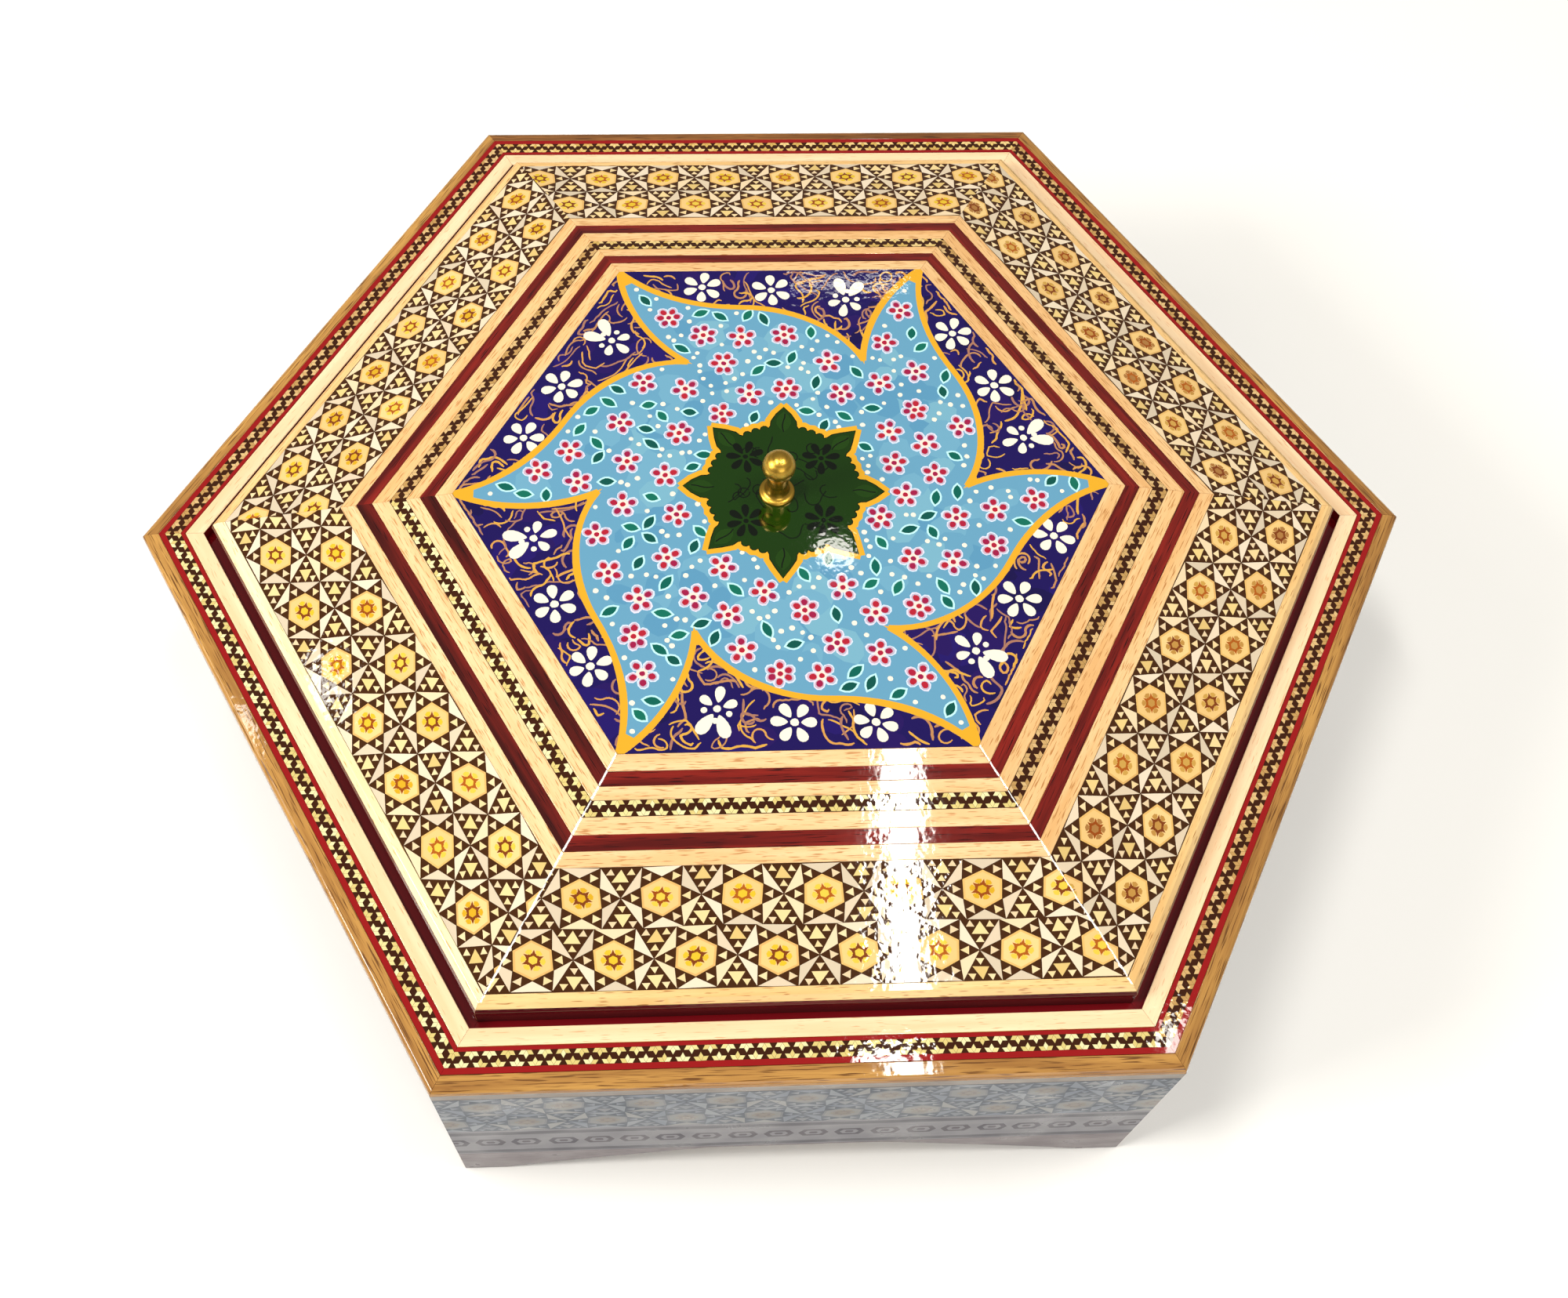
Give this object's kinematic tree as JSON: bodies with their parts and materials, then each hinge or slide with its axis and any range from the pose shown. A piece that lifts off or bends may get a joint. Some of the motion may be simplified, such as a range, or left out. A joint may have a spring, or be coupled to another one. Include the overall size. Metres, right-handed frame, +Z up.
{
  "type": "lidded candy dish",
  "caption": "Hexagonal wooden sweet dish on low bracket feet, with inlaid marquetry bands and a sloping lift-off lid with a painted panel and a small brass knob.",
  "frame": {"origin": "on the surface the dish stands on, at the middle of its six feet", "axes": "+Z up through the knob end; -Y and +Y face two flat sides, -Y being the side nearest the camera; -X and +X point at two corners"},
  "size_m": [0.288, 0.2494, 0.0935],
  "materials": {
    "pale_wood": "clear gloss lacquer",
    "brown_wood": "clear gloss lacquer",
    "red_wood": "clear gloss lacquer",
    "khatam": "clear gloss lacquer",
    "khatam_line": "clear gloss lacquer",
    "side_wood": "clear satin lacquer",
    "side_khatam": "clear satin lacquer",
    "painted_panel": "painted, clear gloss lacquer",
    "brass": "polished"
  },
  "bodies": {
    "root": {"wall_1": "side_wood", "wall_2": "side_wood", "wall_3": "side_wood", "wall_4": "side_wood", "wall_5": "side_wood", "wall_6": "side_wood", "wall_border_1": "side_khatam", "wall_border_2": "side_khatam", "wall_border_3": "side_khatam", "wall_border_4": "side_khatam", "wall_border_5": "side_khatam", "wall_border_6": "side_khatam", "wall_khatam_1": "side_khatam", "wall_khatam_2": "side_khatam", "wall_khatam_3": "side_khatam", "wall_khatam_4": "side_khatam", "wall_khatam_5": "side_khatam", "wall_khatam_6": "side_khatam", "rim_1": "brown_wood", "rim_2": "brown_wood", "rim_3": "brown_wood", "rim_4": "brown_wood", "rim_5": "brown_wood", "rim_6": "brown_wood", "rim_inlay_1": "khatam_line", "rim_inlay_2": "khatam_line", "rim_inlay_3": "khatam_line", "rim_inlay_4": "khatam_line", "rim_inlay_5": "khatam_line", "rim_inlay_6": "khatam_line", "lid_side_1": "pale_wood", "lid_side_2": "pale_wood", "lid_side_3": "pale_wood", "lid_side_4": "pale_wood", "lid_side_5": "pale_wood", "lid_side_6": "pale_wood", "lid_khatam_1": "khatam", "lid_khatam_2": "khatam", "lid_khatam_3": "khatam", "lid_khatam_4": "khatam", "lid_khatam_5": "khatam", "lid_khatam_6": "khatam", "lid_line_1": "khatam_line", "lid_line_2": "khatam_line", "lid_line_3": "khatam_line", "lid_line_4": "khatam_line", "lid_line_5": "khatam_line", "lid_line_6": "khatam_line", "floor": "pale_wood", "lid_stripe_outer": "red_wood", "lid_stripe_inner": "red_wood", "lid_panel": "painted_panel", "knob": "brass"}
  },
  "joints": []
}
